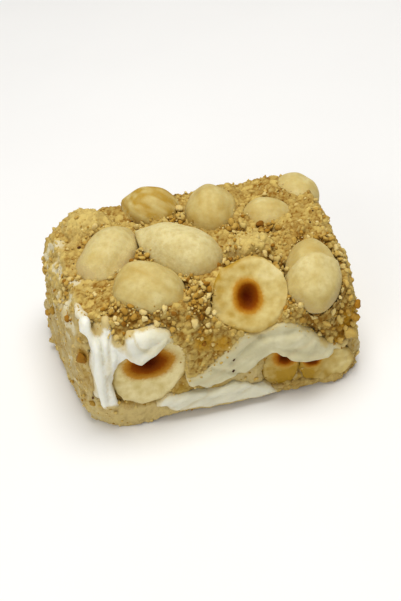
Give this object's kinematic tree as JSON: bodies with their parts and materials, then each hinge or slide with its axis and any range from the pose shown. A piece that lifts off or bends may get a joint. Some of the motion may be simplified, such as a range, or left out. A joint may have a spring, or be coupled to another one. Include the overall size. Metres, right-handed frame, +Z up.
{
  "type": "turkish delight",
  "caption": "Cut block of layered white turkish delight with a hazelnut filling, a coat of golden nut crumbs, whole hazelnuts set in the top and halved ones showing at the cut faces.",
  "frame": {"origin": "middle of the bottom of the whole piece's box, on the surface that it rests on", "axes": "+X runs along the cut front face from left to right, +Y from the cut front face to the cut back face, +Z up"},
  "size_m": [0.0642, 0.043, 0.0323],
  "materials": {
    "nut_crumb": "rough golden crumbs of roasted nut",
    "white_nougat": "soft dull off-white, slightly translucent",
    "nut_filling": "rough brown-gold crumbs of roasted nut",
    "hazelnut": "smooth matte roasted kernel without its skin",
    "hazelnut_cut": "cream cut kernel with a brown hollow"
  },
  "bodies": {
    "root": {"crumb_coat": "nut_crumb", "white_lower": "white_nougat", "nut_filling": "nut_filling", "white_upper": "white_nougat", "crumb_top": "nut_crumb", "hazelnut_1": "hazelnut", "hazelnut_2": "hazelnut", "hazelnut_3": "hazelnut", "hazelnut_4": "hazelnut", "hazelnut_5": "hazelnut", "hazelnut_6": "hazelnut", "hazelnut_7": "hazelnut", "hazelnut_8": "hazelnut", "cut_hazelnut_1": "hazelnut_cut", "cut_hazelnut_2": "hazelnut_cut", "cut_hazelnut_3": "hazelnut_cut", "cut_hazelnut_4": "hazelnut_cut", "cut_hazelnut_5": "hazelnut_cut", "cut_hazelnut_6": "hazelnut_cut", "cut_hazelnut_7": "hazelnut_cut"}
  },
  "joints": []
}
